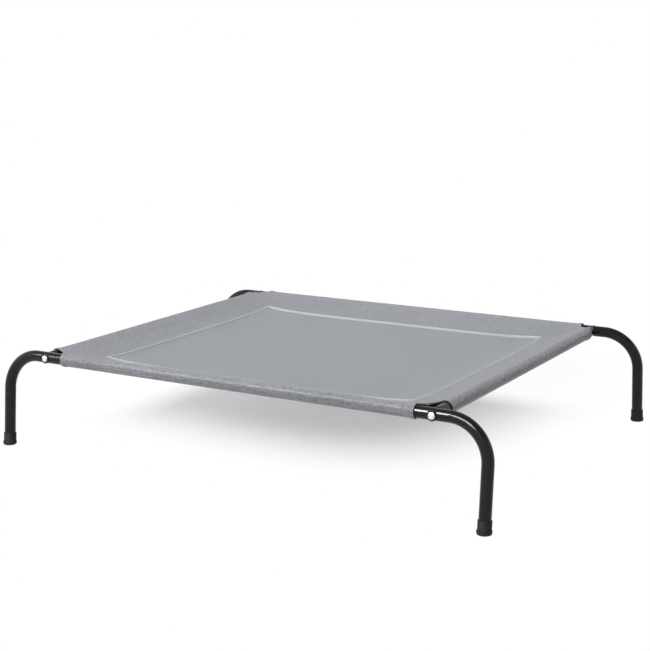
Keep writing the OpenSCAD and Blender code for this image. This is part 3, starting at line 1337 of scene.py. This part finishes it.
@dataclass
class Sling:
    """The sewn sling: panel, borders, welt and stitches."""

    sizes: SlingSizes
    border_cloth: WovenCloth = WovenCloth(
        name="border_oxford_cloth",
        valley=(0.138, 0.144, 0.161),
        crest=(0.329, 0.339, 0.363),
        worn=(0.336, 0.345, 0.363),
        pitch=0.0011,
        slub=1.4,
        streak=0.6,
        mottle=1.3,
        sheen=0.12,
        shine=0.058,
        matt=(0.84, 0.66),
        gloss=(0.42, 0.24),
        thread_height=0.00007,
        slack_grain=0.55,
    )
    panel_cloth: WovenCloth = WovenCloth(
        name="panel_fine_cloth",
        valley=(0.191, 0.200, 0.213),
        crest=(0.286, 0.300, 0.317),
        worn=(0.34, 0.35, 0.36),
        pitch=0.0009,
        slub=0.25,
        streak=0.20,
        mottle=0.25,
        sheen=0.25,
        shine=0.12,
    )
    welt_cover: WovenCloth = WovenCloth(
        name="welt_cover_cloth",
        valley=(0.305, 0.315, 0.328),
        crest=(0.450, 0.460, 0.475),
        worn=(0.47, 0.47, 0.47),
        pitch=0.0008,
        slub=0.3,
        streak=0.2,
        mottle=0.3,
        sheen=0.3,
    )
    sleeve_thread: SewingThread = SewingThread(
        "sleeve_sewing_thread", shade=(0.16, 0.165, 0.185), light=(0.30, 0.305, 0.33)
    )
    welt_thread: SewingThread = SewingThread(
        "welt_sewing_thread", shade=(0.34, 0.35, 0.36), light=(0.52, 0.53, 0.54)
    )

    # How far each sleeve's ends pass the usual mouths, at its left and right seen from outside
    LONGER_ENDS = {
        Side.FRONT: (-0.003, 0.002),
        Side.RIGHT: (-0.007, 0.000),
        Side.REAR: (0.015, 0.000),
        Side.LEFT: (0.000, 0.012),
    }

    def build(self) -> None:
        """Makes every piece of the sling."""
        cloth = self.border_cloth.make()
        names = []
        sleeve_rows = []
        for side, longer_ends in self.LONGER_ENDS.items():
            name, rows = BorderStrip(self.sizes, side, longer_ends).build(cloth)
            names.append(name)
            sleeve_rows += rows
        CentrePanel(self.sizes).build(self.panel_cloth.make(), names)
        welt_rows = SeamWelt(self.sizes).build(self.welt_cover.make())
        dress(sew("sleeve_stitches", sleeve_rows), self.sleeve_thread.make(), Slot.BORDER)
        dress(sew("welt_stitches", welt_rows), self.welt_thread.make(), Slot.WELT)


class TubeFrame:
    """The bolted frame: tubes, saddles, fixings and feet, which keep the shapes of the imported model."""

    FINISHES = {
        Slot.POWDER_COAT: PowderCoat(),
        Slot.RUBBER: Rubber(),
        Slot.PLASTIC: MouldedPlastic(),
        Slot.ZINC: ZincPlate(),
    }

    def dress(self, nodes: dict[str, bpy.types.Object]) -> None:
        """Puts the finishes on the frame's nodes, by the slots that they carry.

        Args:
            nodes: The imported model's nodes by name.
        """
        made = {slot.value: finish.make() for slot, finish in self.FINISHES.items()}
        for name, node in sorted(nodes.items()):
            for index, material in enumerate(node.data.materials):
                slot = material.name.split(".")[0]
                if slot in made:
                    node.data.materials[index] = made[slot]
                    LOG.info("%s: finished in %s", name, slot)


@dataclass(frozen=True)
class Softbox:
    """A rectangular lamp that faces the sling, with its width along X and its height."""

    name: str
    place: Triple
    size: Pair
    watts: float
    use: LampUse
    aim: Triple = (0.0, 0.0, 0.17)

    def add(self) -> bpy.types.Object:
        """Adds the lamp.

        Returns:
            The lamp.
        """
        data = bpy.data.lights.new(self.name, "AREA")
        data.shape = "RECTANGLE"
        data.size, data.size_y = self.size
        data.energy = self.watts
        lamp = bpy.data.objects.new(self.name, data)
        lamp.location = self.place
        lamp.visible_glossy = self.use is LampUse.SHINE
        lamp.visible_diffuse = self.use is LampUse.LIGHT
        ahead = Vector(self.aim) - Vector(self.place)
        lamp.rotation_euler = ahead.to_track_quat("-Z", "Y").to_euler()
        bpy.context.scene.collection.objects.link(lamp)
        return lamp


@dataclass
class Studio:
    """White floor and surround, soft lights and the camera.

    The floor keeps the cot's shadow in a rounded oblong and fades to a white sweep outside it. The world
    shows white up to the ceiling, which starts within a band of heights on a sphere of radius 1.
    """

    camera_place: Triple = (1.39766, -2.37186, 0.80837)
    yaw: float = -0.53637
    pitch: float = 0.20924
    roll: float = 0.00696
    lens_mm: float = 76.889
    sensor_mm: float = 36.0
    view_reach: float = 100.0
    floor_r: float = 9.0
    floor_sides: int = 96
    floor_grey: float = 0.58
    floor_glow: float = 0.40
    shadow_middle: Pair = (-0.25, 0.42)
    shadow_reach: Pair = (0.70, 0.67)
    shadow_turn: float = -0.12
    shadow_core: float = 0.52
    ambient: float = 0.35
    ceiling: float = 0.30
    ceiling_band: Pair = (0.40, 0.75)
    softboxes: tuple[Softbox, ...] = (
        Softbox("key_softbox", (0.00, 0.12, 2.20), (1.50, 1.20), 39.0, LampUse.LIGHT),
        Softbox("front_softbox", (-1.30, -2.90, 1.20), (2.00, 1.20), 57.0, LampUse.LIGHT),
        Softbox("strip_softbox", (-1.30, -2.40, 2.20), (1.10, 1.15), 290.0, LampUse.SHINE),
        Softbox("bend_softbox", (0.25, -2.60, 2.20), (1.86, 1.00), 222.0, LampUse.SHINE),
        Softbox("left_softbox", (-2.30, -2.30, 2.20), (1.00, 1.00), 67.0, LampUse.SHINE),
    )
    shaded_node: str = "rear_right_leg"

    def add_camera(self) -> None:
        """Puts the camera where the photograph was taken from."""
        data = bpy.data.cameras.new("photo_camera")
        data.lens = self.lens_mm
        data.sensor_width = self.sensor_mm
        data.clip_end = self.view_reach
        level = math.cos(self.pitch)
        ahead = Vector((math.sin(self.yaw) * level, math.cos(self.yaw) * level, -math.sin(self.pitch)))
        right = ahead.cross(Vector((0.0, 0.0, 1.0))).normalized()
        down = ahead.cross(right)
        across = math.cos(self.roll) * right + math.sin(self.roll) * down
        up = math.sin(self.roll) * right - math.cos(self.roll) * down
        turned = Matrix((across, up, -ahead)).transposed().to_4x4()
        camera = bpy.data.objects.new("photo_camera", data)
        camera.matrix_world = Matrix.Translation(self.camera_place) @ turned
        bpy.context.scene.collection.objects.link(camera)
        bpy.context.scene.camera = camera

    def floor_paint(self) -> bpy.types.Material:
        """White paint that keeps the cot's shadow and fades to a white sweep.

        Returns:
            The material.
        """
        material = bpy.data.materials.new("white_floor")
        material.use_nodes = True
        graph = NodeGraph(material.node_tree)
        paint = graph.add("ShaderNodeBsdfDiffuse", {"Color": (self.floor_grey,) * 3}).outputs[0]
        glow = graph.add("ShaderNodeEmission", {"Strength": self.floor_glow}).outputs[0]
        lifted = graph.add("ShaderNodeAddShader", {0: paint, 1: glow}).outputs[0]
        sweep = graph.add("ShaderNodeEmission").outputs[0]
        oblong = {
            "Vector": graph.place(),
            "Location": (*self.shadow_middle, 0.0),
            "Rotation": (0.0, 0.0, self.shadow_turn),
            "Scale": (*self.shadow_reach, 1.0),
        }
        # The fourth root of a sum of fourth powers is 1 on a rounded oblong
        power = graph.add("ShaderNodeMapping", oblong, vector_type="TEXTURE").outputs[0]
        for _ in range(2):
            power = graph.add("ShaderNodeVectorMath", {0: power, 1: power}, operation="MULTIPLY").outputs[0]
        both_axes = {0: power, 1: (1.0, 1.0, 0.0)}
        total = graph.add("ShaderNodeVectorMath", both_axes, operation="DOT_PRODUCT").outputs["Value"]
        away = graph.math("POWER", total, 0.25)
        fade = graph.span(away, (self.shadow_core, 1.0), ease="SMOOTHSTEP")
        seen = graph.mix_shaders(fade, lifted, sweep)
        either = graph.mix_shaders(graph.seen_directly(), paint, seen)
        graph.add("ShaderNodeOutputMaterial", {"Surface": either})
        return material

    def add_floor(self) -> None:
        """Adds the floor, a round sheet."""
        count = self.floor_sides
        turn = FULL_TURN * np.arange(count) / count
        rim = np.stack([np.cos(turn), np.sin(turn), np.zeros(count)], axis=-1)
        points = np.concatenate([np.zeros((1, 3)), rim, rim * self.floor_r])
        index = 1 + np.arange(count)
        after = np.roll(index, -1)
        inner = np.stack([np.zeros_like(index), index, after], axis=-1).tolist()
        outer = np.stack([index, index + count, after + count, after], axis=-1).tolist()
        mesh = bpy.data.meshes.new("studio_floor")
        mesh.from_pydata(points.tolist(), [], inner + outer)
        mesh.materials.append(self.floor_paint())
        floor = bpy.data.objects.new("studio_floor", mesh)
        bpy.context.scene.collection.objects.link(floor)

    def add_surround(self) -> None:
        """Lights the scene evenly all round, and shows a white sweep under a dimmer ceiling."""
        world = bpy.data.worlds.new("white_surround")
        world.use_nodes = True
        graph = NodeGraph(world.node_tree)
        around = graph.add("ShaderNodeTexCoord").outputs["Generated"]
        height = graph.axes(around)["Z"]
        level = graph.span(height, self.ceiling_band, (1.0, self.ceiling), "SMOOTHSTEP")
        light, sweep = (
            graph.add("ShaderNodeBackground", {"Color": WHITE, "Strength": strength}).outputs[0]
            for strength in (self.ambient, level)
        )
        either = graph.mix_shaders(graph.seen_directly(), light, sweep)
        graph.add("ShaderNodeOutputWorld", {"Surface": either})
        bpy.context.scene.world = world

    def flag_off(self, lamps: Sequence[bpy.types.Object]) -> None:
        """Keeps the shine of lamps off the far leg, as a flag beside them would.

        Args:
            lamps: The lamps.
        """
        shaded = bpy.data.collections.new("flagged_off")
        shaded.objects.link(frame["nodes"][self.shaded_node])
        shaded.collection_objects[0].light_linking.link_state = "EXCLUDE"
        for lamp in lamps:
            lamp.light_linking.receiver_collection = shaded

    def build(self) -> None:
        """Sets up the whole studio."""
        self.add_camera()
        self.add_floor()
        self.add_surround()
        lamps = {box: box.add() for box in self.softboxes}
        self.flag_off([lamp for box, lamp in lamps.items() if box.use is LampUse.SHINE])
        bpy.context.scene.view_settings.view_transform = "Standard"


def main() -> None:
    """Builds the studio, dresses the frame and sews the sling."""
    logging.basicConfig(level=logging.INFO, format="%(name)s: %(message)s")
    Studio().build()
    TubeFrame().dress(frame["nodes"])
    Sling(SlingSizes()).build()


if __name__ == "__main__":
    main()
